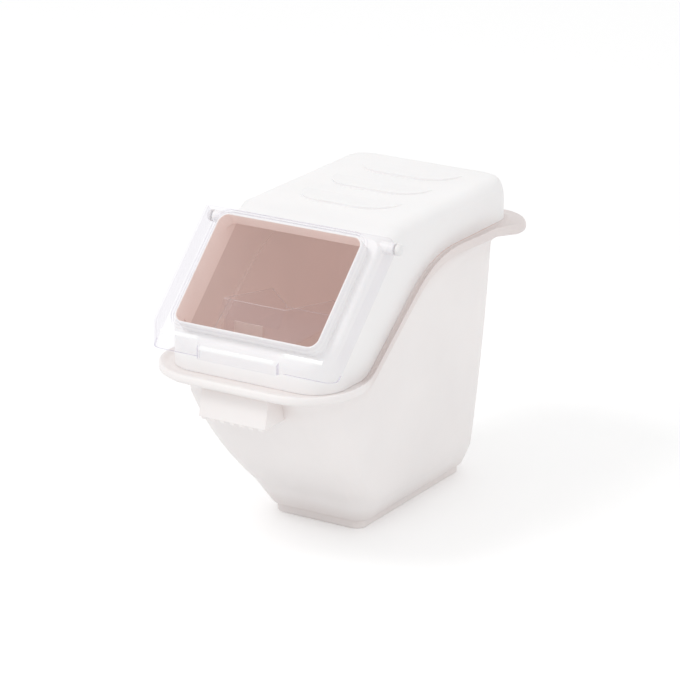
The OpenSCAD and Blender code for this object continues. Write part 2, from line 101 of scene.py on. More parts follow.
TOOTH_H = 3.0
TOOTH_INSET = 0.6
TOOTH_W_SHARE = 0.5
HOOD_RISE = 59.0
HOOD_INSET = 20.0
HOOD_T = 3.0
SEAT_CLEAR = 2.5
SEAT_GAP = 0.4
FIT_GAP = 0.3
WELD_GAP = 0.001
HOOD_FRONT = 33.0
HOOD_BACK = 37.0
HOOD_DRAFT = 2.8
HOOD_REAR_R = 40.0
HOOD_FRONT_R = 45.0
HOOD_EDGE_R = 18.0
HOOD_REAR_TOP_R = 26.0
BROW_BACK = 43.5
BROW_DROP = 7.0
CREASE_BACK = 57.5
SLOPE_EDGE_R = 7.0
BAND_EDGE_R = 12.0
BAND_IN_SHARE = 0.25
BAND_DROP_SHARE = 0.125
BAND_FOOT_SHARE = 0.5
PAD_H = 3.0
PAD_W = 148.0
PAD_COUNT = 3
PAD_BACK = 35.0
PAD_REAR = 25.5
PAD_L_SHARE = 0.8
PAD_R_SHARE = 0.74
PAD_SINK = 1.0
LID_ANGLE = 44.5
LID_OVER = 15.0
LIP_RISE = 24.5
LIP_DROP = 24.0
LIP_GAP = 3.8
LID_PROUD = 2.0
LID_T = 2.5
WINDOW_SIDE = 19.0
WINDOW_HEAD = 11.5
WINDOW_FOOT = 17.5
WINDOW_R = 13.0
WINDOW_CUT_DEPTH = 60.0
COLLAR_H = 20.0
COLLAR_T = 3.0
FRAME_DEPTH = 14.0
LINER_H = 17.0
LINER_OVER = 10.0
LID_R = 18.0
SKIRT_H = 25.0
PANEL_H = 10.0
PANEL_STEP_H = 4.0
PANEL_STEP = 2.5
PANEL_ROUND = 1.6
PANEL_FILLET = 0.6
COLLAR_GAP = 1.5
PULL_W = 123.0
PULL_REACH = 13.0
PULL_R = 5.0
PULL_FILLET = 4.0
BEND_R = 3.5
HOLD = 0.4
EAR_R = 8.0
PIVOT_U = 2.0
PIVOT_DEPTH = 26.0
BOSS_D = 16.0
BOSS_GAP = 0.6
BOSS_ROOT = 9.0
PIN_D = 8.0
SHANK_D = 6.0
HEAD_D = 16.0
HEAD_H = 6.0
SCOOP_MID_X = -37.0
SCOOP_AHEAD = 45.0
SCOOP_RIM_RISE = 74.0
SCOOP_T = 2.0
SCOOP_W = 98.0
SCOOP_L = 150.0
SCOOP_H = 55.0
SCOOP_R = 5.0
SCOOP_RIM_DROP = 19.0
SCOOP_RIM_SHARE = 0.78
SCOOP_MOUTH_H = 4.0
FLAP_L = 26.0
FLAP_EDGE = 0.5
FLAP_ANGLE = 54.5
HOOK_T = 2.5
HOOK_W = 44.0
HOOK_WEB_W = 36.0
HOOK_SHARE = 0.72
HOOK_RISE = 14.0

# Places that follow from the sizes
FRONT_Y = -FLANGE_L / 2
REAR_Y = FLANGE_L / 2
REAR_RIM_H = FRONT_RIM_H + RIM_RISE
HOOD_TOP_H = REAR_RIM_H + HOOD_RISE
HOOD_W = FLANGE_W - 2 * HOOD_INSET
HIGH_W = HOOD_W - 2 * RIM_STEP
LOW_H = PLINTH_H + FOOT_ROUND_H
RIM_FRONT_Y = FRONT_Y + FRONT_OVERHANG
RIM_REAR_Y = REAR_Y - REAR_OVERHANG
PLINTH_FRONT_Y = RIM_FRONT_Y + FRONT_RUN + PLINTH_SET
PLINTH_REAR_Y = REAR_Y - PLINTH_BACK
HOOD_FRONT_Y = FRONT_Y + HOOD_FRONT
HOOD_REAR_Y = REAR_Y - HOOD_BACK
RAMP_SIN = math.sin(math.radians(RAMP_ANGLE))
RAMP_COS = math.cos(math.radians(RAMP_ANGLE))
RAMP_Y0 = FRONT_Y + RAMP_START
RAMP_Y1 = RAMP_Y0 + RAMP_LOW_R * RAMP_SIN
RAMP_Z1 = FRONT_RIM_H + RAMP_LOW_R * (1 - RAMP_COS)
RAMP_STRAIGHT = (RIM_RISE - (RAMP_LOW_R + RAMP_HIGH_R) * (1 - RAMP_COS)) / RAMP_SIN
RAMP_Y2 = RAMP_Y1 + RAMP_STRAIGHT * RAMP_COS
RAMP_Y3 = RAMP_Y2 + RAMP_HIGH_R * RAMP_SIN
LID_SIN = math.sin(math.radians(LID_ANGLE))
LID_COS = math.cos(math.radians(LID_ANGLE))
LID_W = HOOD_W + 2 * LID_OVER
LID_TOP_Z = HOOD_TOP_H + LID_PROUD
LID_L = (LID_TOP_Z - FRONT_RIM_H - LIP_RISE - LIP_DROP) / LID_SIN
LID_FRONT_Y = HOOD_FRONT_Y - LID_T - LIP_GAP
LID_TOP_Y = LID_FRONT_Y + LID_L * LID_COS
LIP_FOOT_Z = FRONT_RIM_H + LIP_RISE
PULL_Y = LID_FRONT_Y - PULL_REACH * LID_COS
SKIRT_DROP = SKIRT_H / LID_COS
PANEL_INNER = COLLAR_T + COLLAR_GAP
PANEL_OUTER = PANEL_INNER + LID_T
WINDOW_W = HOOD_W - 2 * WINDOW_SIDE
WINDOW_L = LID_L - WINDOW_HEAD - WINDOW_FOOT
WINDOW_MID_U = WINDOW_HEAD + WINDOW_L / 2
PIVOT_Y = LID_TOP_Y - PIVOT_U * LID_COS + PIVOT_DEPTH * LID_SIN
PIVOT_Z = LID_TOP_Z - PIVOT_U * LID_SIN - PIVOT_DEPTH * LID_COS
BOSS_X = LID_W / 2 - LID_T - BOSS_GAP
SHANK_L = BOSS_X - HOOD_W / 2 + BOSS_ROOT
CREASE_Y = LID_TOP_Y + CREASE_BACK
PAD_PITCH = (HOOD_REAR_Y - PAD_REAR - CREASE_Y - PAD_BACK) / PAD_COUNT
PAD_L = PAD_L_SHARE * PAD_PITCH
PAD_R = PAD_R_SHARE * PAD_L
SCOOP_FRONT_Y = LID_TOP_Y - SCOOP_AHEAD
SCOOP_RIM_Z = FRONT_RIM_H + SCOOP_RIM_RISE
SCOOP_FLOOR_Z = SCOOP_RIM_Z - SCOOP_H
HOOD_MIDDLE = Vector((0, 0, REAR_RIM_H)) * MM

# Camera place, aim and reach in metres, lens and sensor in millimetres
CAMERA_AT = (2.3024, -3.6831, 1.7260)
CAMERA_AIM = (0.0, -0.0085, 0.2368)
CAMERA_REACH = 100.0
CAMERA_LENS = 183.3
CAMERA_SENSOR = 36.0

# Lamps: place and size in metres, power in watts
Lamp = namedtuple("Lamp", "name at size power")
LAMPS = [
    Lamp("key", (-1.4, -2.0, 3.4), 1.2, 30),
    Lamp("side", (3.0, -1.2, 1.6), 2.0, 8),
]

# World and floor, with the floor's half width in metres
WORLD_LEVEL = 0.84
FLOOR_HALF_W = 20.0
FLOOR_GREY = 0.9
FLOOR_ROUGH = 0.9
FLOOR_GLOW = 0.18

# Painted light: a low glow of the inner faces, standing in for daylight through the thin wall
WALL_GLOW = (0.95, 0.70, 0.62)
WALL_GLOW_LEVEL = 0.22
HOOK_GLOW_LEVEL = 0.12

# Painted shade in the hollows and along the slope, with lengths in metres and angles in degrees
HOLLOW_SAMPLES = 8
HOLLOW_REACH = 0.035
HOLLOW_LOW = 0.4
HOLLOW_HIGH = 1.0
HOLLOW_SHADE_TINT = (0.93, 0.90, 0.89)
SLOPE_SHADE_TINT = (0.88, 0.835, 0.825)
SLOPE_SHADE = "slope_shade"
SLOPE_SHADE_FROM = 15.0
COLLAR_LOOK = 0.06

# Clouds, gloss and grain of the plastics, with lengths in metres
Noise = namedtuple("Noise", "scale detail")
CLOUD_NOISE = Noise(7, 4)
GLOSS_NOISE = Noise(40, 5)
GRAIN_NOISE = Noise(900, 3)
CLEAR_CLOUD_NOISE = Noise(9, 3)
CLEAR_GLOSS_NOISE = Noise(60, 4)
NOISE_LOW = 0.35
NOISE_HIGH = 0.65
GRAIN_STRENGTH = 0.35
GRAIN_DEPTH = 0.00006
MILKY_SHARE = 0.08
MILKY_REACH = (0.006, 0.005, 0.0045)

# Clear plastic
CLEAR_TINT = (0.988, 0.986, 0.989)
LID_EDGE_TINT = (0.90, 0.885, 0.92)
# Painted shade: the dark violet that clear plastic shows edge-on
LID_PAINTED_SHADE_TINT = (0.6, 0.56, 0.72)
SCOOP_EDGE_TINT = (0.975, 0.965, 0.975)
CLEAR_EDGE_BLEND = 0.2
CLEAR_IOR = 1.45
CLEAR_ROUGH_LOW = 0.05
CLEAR_ROUGH_HIGH = 0.1
SHEEN_SHARE = 0.7
CLEAR_LAYERS = 24

# Looks of the plastics: two tones that cloud into each other, then roughness or haze
MouldedLook = namedtuple("MouldedLook", "low high rough_low rough_high")
ClearLook = namedtuple("ClearLook", "low high haze edge")
# Painted shade: the inner faces, the window's inner frame and the scoop's hook get a dark warm brown-pink
# in place of the white plastic, for the shade inside the container
SHADED_INNER_LOOK = MouldedLook((0.50, 0.40, 0.365), (0.55, 0.44, 0.405), 0.5, 0.6)
MOULDED_LOOKS = {
    "white_plastic": MouldedLook((0.89, 0.855, 0.848), (0.92, 0.885, 0.876), 0.34, 0.46),
    "hood_plastic": MouldedLook((0.90, 0.89, 0.89), (0.93, 0.915, 0.915), 0.30, 0.42),
    "shaded_inner_plastic": SHADED_INNER_LOOK,
    "shaded_frame_plastic": MouldedLook((0.66, 0.55, 0.51), (0.71, 0.60, 0.56), 0.45, 0.55),
    "shaded_hook_plastic": SHADED_INNER_LOOK,
    "pin_plastic": MouldedLook((0.83, 0.82, 0.82), (0.87, 0.855, 0.855), 0.3, 0.4),
}
CLEAR_LOOKS = {
    "lid_clear": ClearLook((0.90, 0.89, 0.95), (0.94, 0.93, 0.97), 0.02, LID_EDGE_TINT),
    # Painted highlight: a near-opaque white haze along the lid's front bends
    "lid_painted_highlight": ClearLook((0.97, 0.97, 0.975), (0.99, 0.99, 0.99), 0.8, LID_EDGE_TINT),
    # Painted shade: a dark violet on the pull's ends and the lip's foot
    "lid_painted_shade": ClearLook((0.52, 0.48, 0.64), (0.58, 0.54, 0.70), 0.35, LID_PAINTED_SHADE_TINT),
    "scoop_clear": ClearLook((0.90, 0.86, 0.88), (0.95, 0.92, 0.93), 0.0, SCOOP_EDGE_TINT),
    # Painted highlight: a whiter haze on the scoop's rim faces
    "scoop_painted_highlight": ClearLook((0.92, 0.90, 0.92), (0.97, 0.95, 0.96), 0.5, SCOOP_EDGE_TINT),
}

# Places of the later materials in a piece's list
SECOND_MATERIAL = 1
THIRD_MATERIAL = 2

# Angles in degrees above which the edges of a piece stay hard
HARD_ANGLES = {
    "bin_skin": 38,
    "bin_grip": 30,
    "hood_shell": 32,
    "hood_collar": 50,
    "hood_liners": 50,
    "hood_pads": 30,
    "hood_bosses": 40,
    "hood_hook": 30,
    "pin_left": 45,
    "pin_right": 45,
    "lid_cover": 40,
    "lid_ear_left": 40,
    "lid_ear_right": 40,
    "scoop_bowl": 40,
    "scoop_flap": 30,
}

# Fineness of the moulded skins, with turns in degrees
QUARTER_TURN = 90.0
HALF_TURN = 180.0
CORNER_STEPS = 14
LATHE_STEPS = 56
SIDE_STEPS = 72
SECTION_STEPS = 14
FLAT_STEPS = 8
BOTTOM_STEPS = 90
ROUND_STEPS = 10
BEND_END_STEPS = 2
SPLINE_STEPS = 5
TOP_STEPS = 12
INNER_STEPS = 14
FOOT_STEPS = 12
FOOT_STEP_POWER = 1.5
EDGE_SEGMENTS = 3
SMALL_EDGE_SEGMENTS = 2
END_FACES = 2
INNER_SHARES = [i / INNER_STEPS for i in range(INNER_STEPS + 1)]
FOOT_SHARES = [(i / FOOT_STEPS) ** FOOT_STEP_POWER for i in range(FOOT_STEPS + 1)]
FLARE_ANGLES = [FLARE_TURN * i / ROUND_STEPS for i in range(1, ROUND_STEPS + 1)]

Outline = namedtuple("Outline", "half front rear front_r rear_r")


def lerp(a, b, t):
    return a + (b - a) * t


def quarter_turns(steps):
    """Even steps through a quarter turn, in radians."""
    return [math.radians(QUARTER_TURN * i / steps) for i in range(steps + 1)]


def blend_outlines(a, b, t):
    return Outline(*[lerp(p, q, t) for p, q in zip(a, b)])


def smooth(t):
    c = min(max(t, 0), 1)
    return c * c * (3 - 2 * c)


def bulge(t, k):
    return t * (1 + k) - k * t * t


def inset(x, half, r):
    d = abs(x) - half + r
    return 0 if d <= 0 else r - math.sqrt(max(0, r * r - d * d))


PLINTH = Outline(PLINTH_W / 2, PLINTH_FRONT_Y, PLINTH_REAR_Y, PLINTH_R, PLINTH_R)
FOOT = Outline(
    PLINTH_W / 2 + FOOT_GROW,
    PLINTH_FRONT_Y - FOOT_GROW,
    PLINTH_REAR_Y + FOOT_GROW,
    FOOT_R,
    FOOT_R,
)
FLANGE = Outline(FLANGE_W / 2, FRONT_Y, REAR_Y, FLANGE_FRONT_R, FLANGE_REAR_R)
SEAT = Outline(
    HOOD_W / 2 + SEAT_CLEAR,
    HOOD_FRONT_Y - SEAT_CLEAR,
    HOOD_REAR_Y + SEAT_CLEAR,
    HOOD_FRONT_R + SEAT_CLEAR,
    HOOD_REAR_R + SEAT_CLEAR,
)


def shrunk(o, d):
    return Outline(o.half - d, o.front + d, o.rear - d, o.front_r - d, o.rear_r - d)


def seat_z(y):
    """Height of the hood's seat: flat, bend, straight, bend, flat."""
    if y <= RAMP_Y0:
        return FRONT_RIM_H
    if y <= RAMP_Y1:
        return FRONT_RIM_H + RAMP_LOW_R - math.sqrt(RAMP_LOW_R**2 - (y - RAMP_Y0) ** 2)
    if y <= RAMP_Y2:
        return RAMP_Z1 + (y - RAMP_Y1) * RAMP_SIN / RAMP_COS
    if y <= RAMP_Y3:
        return REAR_RIM_H - RAMP_HIGH_R + math.sqrt(RAMP_HIGH_R**2 - (RAMP_Y3 - y) ** 2)
    return REAR_RIM_H


def past_ramp_start(y):
    """0 at the front, 1 from the rise of the seat to the rear."""
    return smooth((y - RAMP_Y0 + FLARE_FRONT_L / 2) / FLARE_FRONT_L)


def along_ramp(y):
    """1 along the rise of the seat, 0 at the front and the rear."""
    return past_ramp_start(y) * (1 - smooth((y - RAMP_Y3 + FLARE_REAR_L / 2) / FLARE_REAR_L))


def droop(y):
    return REAR_DROOP * smooth((y - HOOD_REAR_Y + DROOP_L) / DROOP_L)


def wall_line(z):
    t = (z - LOW_H) / (FRONT_RIM_H - LOW_H)
    s = (z - LOW_H) / (REAR_RIM_H - LOW_H)
    return Outline(
        lerp(LOW_W, HIGH_W, bulge(s, SIDE_BULGE_SHARE)) / 2,
        RIM_FRONT_Y + FRONT_RUN * (1 - bulge(t, FRONT_BULGE_SHARE)),
        RIM_REAR_Y - REAR_RUN * (1 - s),
        lerp(LOW_FRONT_R, HIGH_FRONT_R, t),
        lerp(LOW_REAR_R, HIGH_REAR_R, s),
    )


def wall_outline(z):
    """Outline of the outer wall at a height."""
    if z >= LOW_H:
        return wall_line(z)
    d = (LOW_H - z) / FOOT_ROUND_H
    low = wall_line(LOW_H)
    straight = blend_outlines(FOOT, low, 1 - d)
    rounded = blend_outlines(FOOT, low, lerp(1 - d, math.sqrt(max(0, 1 - d * d)), FOOT_ROUND_SHARE))
    return Outline(rounded.half, straight.front, rounded.rear, straight.front_r, rounded.rear_r)


def inner_outline(z):
    return shrunk(wall_outline(z), WALL_T)


def make_stations():
    """Places round an outline, as (kind, angle or share, side)."""
    turns = [QUARTER_TURN * i / CORNER_STEPS for i in range(CORNER_STEPS + 1)]
    right = [("front", turn - QUARTER_TURN, 1) for turn in turns]
    right += [("side", i / SIDE_STEPS, 1) for i in range(1, SIDE_STEPS)]
    right += [("rear", turn, 1) for turn in turns]
    left = [(kind, share, -1) for kind, share, side in reversed(right)]
    return [("front_mid", 0, 1)] + right + [("rear_mid", 0, 1)] + left


STATIONS = make_stations()


def place(s, o):
    kind, share, side = s
    turn = math.radians(share)
    if kind == "front_mid":
        return (0, o.front)
    if kind == "front":
        x = o.half - o.front_r + o.front_r * math.cos(turn)
        return (side * x, o.front + o.front_r + o.front_r * math.sin(turn))
    if kind == "side":
        return (side * o.half, lerp(o.front + o.front_r, o.rear - o.rear_r, share))
    if kind == "rear":
        x = o.half - o.rear_r + o.rear_r * math.cos(turn)
        return (side * x, o.rear - o.rear_r + o.rear_r * math.sin(turn))
    return (0, o.rear)


def station_top(s):
    """Height of the seat at a station, found by stepping to where the wall meets it."""
    kind, share, side = s
    z = {"front_mid": FRONT_RIM_H, "front": FRONT_RIM_H}.get(kind, REAR_RIM_H)
    if kind == "side":
        z = lerp(FRONT_RIM_H, REAR_RIM_H, share)
    for step in range(TOP_STEPS):
        z = seat_z(place(s, wall_outline(z))[1])
    return z


TOPS = [station_top(s) for s in STATIONS]
WALL_YS = [place(s, wall_outline(top))[1] for s, top in zip(STATIONS, TOPS)]


def level_with(s, o, y, draw_in):
    """A place on another outline, level with the wall's own place at a station."""
    if s[0] == "side":
        return (s[2] * (o.half - draw_in), y)
    return place(s, o)


def mix(a, b, t):
    return tuple(lerp(p, q, t) for p, q in zip(a, b))


def flange_ring(out, rise):
    ring = []
    for s, top, y in zip(STATIONS, TOPS, WALL_YS):
        f = level_with(s, FLANGE, y, FLANGE_PINCH * along_ramp(y))
        h = level_with(s, SEAT, y, 0)
        ring.append((*mix(f, h, out), top + rise - droop(f[1]) * (1 - out)))
    return ring


def flare_drop(y):
    end = FLARE_FRONT_H if y < RAMP_Y2 else FLARE_REAR_H
    return lerp(end, FLARE_SIDE_H, along_ramp(y))


def flare_ring(angle):
    """A ring on the round underside of the flange, from the wall out to the edge."""
    turn = math.radians(angle)
    out = UNDER_SHARE * (1 - math.cos(turn))
    ring = []
    for s, top, y in zip(STATIONS, TOPS, WALL_YS):
        f = level_with(s, FLANGE, y, FLANGE_PINCH * along_ramp(y))
        z = top - flare_drop(y)
        rise = (flare_drop(y) - LIP_H) * math.sin(turn)
        ring.append((*mix(place(s, wall_outline(z)), f, out), z + rise - droop(f[1]) * out))
    return ring


def level_ring(outline, z):
    return [(*place(s, outline), z) for s in STATIONS]


def spline(rings):
    """Rings through the given ones along smooth curves."""
    made = []
    for k in range(len(rings) - 1):
        before, a, b, after = (rings[min(max(k + d, 0), len(rings) - 1)] for d in (-1, 0, 1, 2))
        for step in range(SPLINE_STEPS):
            t = step / SPLINE_STEPS
            made.append([spline_point(p, t) for p in zip(before, a, b, after)])
    return made + [rings[-1]]


def spline_point(p, t):
    before, a, b, after = (Vector(q) for q in p)
    start = (b - before) / 2
    end = (after - a) / 2
    fall = 1 - t
    return (
        a * (1 + 2 * t) * fall * fall
        + start * t * fall * fall
        + b * t * t * (3 - 2 * t)
        - end * t * t * fall
    )


def outer_rings():
    """Rings from the plinth's underside up the wall to the flare."""
    rings = [level_ring(shrunk(PLINTH, PLINTH_EDGE), 0)]
    rings.append(level_ring(PLINTH, PLINTH_EDGE))
    rings.append(level_ring(PLINTH, PLINTH_H))
    for f in FOOT_SHARES:
        z = lerp(PLINTH_H, LOW_H, f)
        rings.append(level_ring(wall_outline(z), z))
    for f in INNER_SHARES[1:]:
        zs = [lerp(LOW_H, top - flare_drop(y), f) for top, y in zip(TOPS, WALL_YS)]
        rings.append([(*place(s, wall_outline(z)), z) for s, z in zip(STATIONS, zs)])
    return rings


def bead_rings():
    """Rings from the flare's edge over the bead and the cove to the seat."""
    return spline(
        [
            flare_ring(FLARE_ANGLES[-1]),
            flange_ring(0, -LIP_H / 2),
            flange_ring(0, BEAD_H / 2),
            flange_ring(BEAD_SHARE, BEAD_H),
            flange_ring(COVE_SHARE, COVE_RISE_SHARE * BEAD_H),
            flange_ring(1, 0),
        ]
    )


def inner_rings(seat_ring):
    """Rings from the seat down the inside to the floor."""
    inner = []
    for f in INNER_SHARES:
        zs = [lerp(top, LOW_H, f) for top in TOPS]
        inner.append([(*place(s, inner_outline(z)), z) for s, z in zip(STATIONS, zs)])
    for f in reversed(FOOT_SHARES[:-1]):
        z = lerp(PLINTH_H + FLOOR_T, LOW_H, f)
        inner.append(level_ring(inner_outline(z), z))
    middle = [(Vector(a) + Vector(b)) / 2 for a, b in zip(seat_ring, inner[0])]
    return [middle] + inner


def new_object(name, bm):
    """A piece from a mesh drawn in millimetres, faces outwards, in metres."""
    bmesh.ops.recalc_face_normals(bm, faces=bm.faces)
    bmesh.ops.scale(bm, vec=(MM, MM, MM), verts=bm.verts)
    mesh = bpy.data.meshes.new(name)
    bm.to_mesh(mesh)
    bm.free()
    piece = bpy.data.objects.new(name, mesh)
    bpy.context.scene.collection.objects.link(piece)
    return piece


def add_rows(bm, rings):
    return [[bm.verts.new(p) for p in ring] for ring in rings]


def strip(bm, rows, closed):
    """Faces between rows of points."""
    count = len(rows[0])
    for a, b in zip(rows, rows[1:]):
        for i in range(count if closed else count - 1):
            j = (i + 1) % count
            bm.faces.new((a[i], a[j], b[j], b[i]))


def loft(bm, rings, around=False):
    """Faces between rings of equal length; the ends are closed, or joined to each other."""
    rows = add_rows(bm, rings)
    if around:
        strip(bm, rows + rows[:1], True)
        return
    strip(bm, rows, True)
    for row in (rows[0], rows[-1]):
        bm.faces.new(row)


def soften(piece):
    """Smooth shading, with hard edges kept above the piece's angle."""
    piece.data.shade_smooth()
    piece.data.set_sharp_from_angle(angle=math.radians(HARD_ANGLES[piece.name]))
    return piece


def bevel(piece, width, segments):
    edge = piece.modifiers.new("edge_round", "BEVEL")
    edge.width = width * MM
    edge.segments = segments
    edge.limit_method = "ANGLE"
    edge.harden_normals = True
    return piece


def prism(bm, start_x, end_x, points):
    """A [y, z] shape drawn out across X."""
    loft(bm, [[(x, y, z) for y, z in points] for x in (start_x, end_x)])


def shade_slope(piece, shares):
    """Marks the rings by their shares, from the slope to the rear, for a painted shade."""
    layer = piece.data.attributes.new(SLOPE_SHADE, "FLOAT", "POINT")
    layer.data.foreach_set("value", [share * past_ramp_start(y) for share in shares for y in WALL_YS])


def make_bin():
    """One skin: plinth, wall, flare, bead, seat and inside."""
    outer = outer_rings()
    flare_angles = FLARE_ANGLES[:-1]
    flare = [flare_ring(a) for a in flare_angles]
    bead = bead_rings()
    inner = inner_rings(bead[-1])
    bm = bmesh.new()
    loft(bm, outer + flare + bead + inner)
    piece = new_object("bin_skin", bm)
    flare_shade_shares = [smooth((a - SLOPE_SHADE_FROM) / (FLARE_TURN - SLOPE_SHADE_FROM)) for a in flare_angles]
    # Painted shade along the flange's slope and rear
    shade_slope(piece, [0] * len(outer) + flare_shade_shares + [1] * len(bead) + [0] * len(inner))
    return soften(piece)


def make_grip():
    top = FRONT_RIM_H - LIP_H
    foot = top - GRIP_H
    front = FRONT_Y + GRIP_BACK
    lean = front - GRIP_LEAN
    levels = [
        (front, wall_outline(top).front + WALL_T / 2, top),
        (lean, wall_outline(foot).front + WALL_T / 2, foot),
    ]
    tooth_front = lean + TOOTH_INSET
    tooth_back = lean + GRIP_T - TOOTH_INSET
    tooth = [
        (tooth_front, foot - TOOTH_H),
        (tooth_back, foot - TOOTH_H),
        (tooth_back, foot + TOOTH_INSET),
        (tooth_front, foot + TOOTH_INSET),
    ]
    half = GRIP_W / 2
    pitch = GRIP_W / GRIP_TEETH
    tooth_half = TOOTH_W_SHARE * pitch / 2
    inner = half - GRIP_T
    rings = []
    for y, back, z in levels:
        outer_loop = [(-half, back, z), (-half, y, z), (half, y, z), (half, back, z)]
        inner_y = y + GRIP_T
        inner_loop = [(inner, back, z), (inner, inner_y, z), (-inner, inner_y, z), (-inner, back, z)]
        rings.append(outer_loop + inner_loop)
    bm = bmesh.new()
    loft(bm, rings)
    for i in range(GRIP_TEETH):
        middle = (2 * i + 1) * pitch / 2 - half
        prism(bm, middle - tooth_half, middle + tooth_half, tooth)
    return bevel(soften(new_object("bin_grip", bm)), GRIP_EDGE, EDGE_SEGMENTS)


def section_xs(half, r):
    flat = half - r
    right = [flat * i / FLAT_STEPS for i in range(1, FLAT_STEPS)]
    right += [flat + r * math.sin(a) for a in quarter_turns(SECTION_STEPS)]
    return [-x for x in reversed(right)] + [0] + right


def frame_z(y, depth):
    return LID_TOP_Z + (y - LID_TOP_Y) * LID_SIN / LID_COS - depth / LID_COS


def frame_y(z, depth):
    return LID_TOP_Y + (z - LID_TOP_Z + depth / LID_COS) * LID_COS / LID_SIN


def hood_profile(x, t, sink):
    """Closed [y, z] shape of the hood at a distance from its middle, drawn in by a wall."""
    half = HOOD_W / 2 - t
    f = HOOD_FRONT_Y + t + inset(x, half, HOOD_FRONT_R - t)
    r = HOOD_REAR_Y - t - inset(x, half, HOOD_REAR_R - t)
    e = inset(x, half, HOOD_EDGE_R - t)
    depth = FRAME_DEPTH + t + inset(x, half, SLOPE_EDGE_R - t)
    top = HOOD_TOP_H - t - e
    shelf_z = LID_TOP_Z - FRAME_DEPTH * LID_COS - t - e
    brow_z = max(HOOD_TOP_H - BROW_DROP - t - e, shelf_z + FIT_GAP)
    q = HOOD_REAR_TOP_R - t
    points = []
    for i in range(BOTTOM_STEPS + 1):
        y = lerp(f, r, i / BOTTOM_STEPS)
        points.append((y, seat_z(y) + SEAT_GAP - sink))
    for a in quarter_turns(ROUND_STEPS):
        points.append((r - q + q * math.cos(a), top - q + q * math.sin(a)))
    points.append((CREASE_Y + t / 2, top))
    points.append((LID_TOP_Y + BROW_BACK + t / 2, brow_z))
    points.append((frame_y(shelf_z, depth), shelf_z))
    points.append((f + BAND_EDGE_R, frame_z(f + BAND_EDGE_R, depth)))
    points.append((f + BAND_IN_SHARE * BAND_EDGE_R, frame_z(f + BAND_DROP_SHARE * BAND_EDGE_R, depth)))
    points.append((f, frame_z(f - BAND_FOOT_SHARE * BAND_EDGE_R, depth)))
    return points


def hood_side(x, z):
    rise_share = (z - FRONT_RIM_H) / (HOOD_TOP_H - FRONT_RIM_H)
    return x * (1 - 2 * HOOD_DRAFT / HOOD_W * rise_share)


def hood_skin(name, t, sink):
    rings = []
    for x in section_xs(HOOD_W / 2 - t, HOOD_FRONT_R - t):
        rings.append([(hood_side(x, z), y, z) for y, z in hood_profile(x, t, sink)])
    bm = bmesh.new()
    loft(bm, rings)
    return new_object(name, bm)


def in_window(x, v, w):
    """A place in the window's own frame: across, up the slope from its middle, out of the lid."""
    u = WINDOW_MID_U - v
    return (x, LID_TOP_Y - u * LID_COS - w * LID_SIN, LID_TOP_Z - u * LID_SIN + w * LID_COS)


WINDOW_MIDDLE = Vector(in_window(0, 0, 0)) * MM


def round_rect(w, l, r):
    points = []
    corners = [(1, 1), (-1, 1), (-1, -1), (1, -1)]
    for k, (sx, sy) in enumerate(corners):
        for i in range(ROUND_STEPS + 1):
            a = math.radians(QUARTER_TURN * k + QUARTER_TURN * i / ROUND_STEPS)
            points.append((sx * (w / 2 - r) + r * math.cos(a), sy * (l / 2 - r) + r * math.sin(a)))
    return points


def window_ring(grow, w):
    shape = round_rect(WINDOW_W + 2 * grow, WINDOW_L + 2 * grow, WINDOW_R + grow)
    return [in_window(x, v, w) for x, v in shape]


def applied(piece):
    """Puts the result of a piece's modifiers into its mesh."""
    graph = bpy.context.evaluated_depsgraph_get()
    made = bpy.data.meshes.new_from_object(piece.evaluated_get(graph))
    piece.modifiers.clear()
    piece.data = made
    return piece


def weld(piece):
    """Joins the points that a cut left on top of each other."""
    bm = bmesh.new()
    bm.from_mesh(piece.data)
    bmesh.ops.remove_doubles(bm, verts=bm.verts, dist=WELD_GAP * MM)
    bm.to_mesh(piece.data)
    bm.free()


def cut(piece, tool):
    """Takes the tool's shape out of the piece and removes the tool."""
    step = piece.modifiers.new("cut", "BOOLEAN")
    step.operation = "DIFFERENCE"
    step.solver = "EXACT"
    step.object = tool
    applied(piece)
    bpy.data.objects.remove(tool)
    weld(piece)


def make_hood():
    shell = hood_skin("hood_shell", 0, 0)
    cut(shell, hood_skin("hood_inside", HOOD_T, HOOD_EDGE_R))
    bm = bmesh.new()
    loft(bm, [window_ring(COLLAR_T / 2, -WINDOW_CUT_DEPTH), window_ring(COLLAR_T / 2, COLLAR_H)])
    cut(shell, new_object("window_tool", bm))
    return soften(shell)


def make_collar():
    """The raised rim round the window opening, with a rounded top edge."""
    low = -FRAME_DEPTH - HOOD_T
    high = COLLAR_H - FRAME_DEPTH
    r = COLLAR_T / 2
    rings = [window_ring(COLLAR_T, low)]
    for i in range(ROUND_STEPS + 1):
        a = math.radians(HALF_TURN * i / ROUND_STEPS)
        rings.append(window_ring(r + r * math.cos(a), high - r + r * math.sin(a)))
    rings.append(window_ring(0, low))
    bm = bmesh.new()
    loft(bm, rings, around=True)
    return soften(new_object("hood_collar", bm))


def make_liners():
    """The deep ribs along both sides of the window opening."""
    bm = bmesh.new()
    low = -FRAME_DEPTH - HOOD_T
    foot = WINDOW_R - WINDOW_L / 2
    head = WINDOW_L / 2 + LINER_OVER
    for side in (-1, 1):
        near = side * (WINDOW_W / 2 + FIT_GAP)
        far = near + side * COLLAR_T
        loop = [(near, foot), (far, foot), (far, head), (near, head)]
        loft(bm, [[in_window(x, v, w) for x, v in loop] for w in (low - LINER_H, low + HOOD_T / 2)])
    return bevel(soften(new_object("hood_liners", bm)), FIT_GAP, SMALL_EDGE_SEGMENTS)


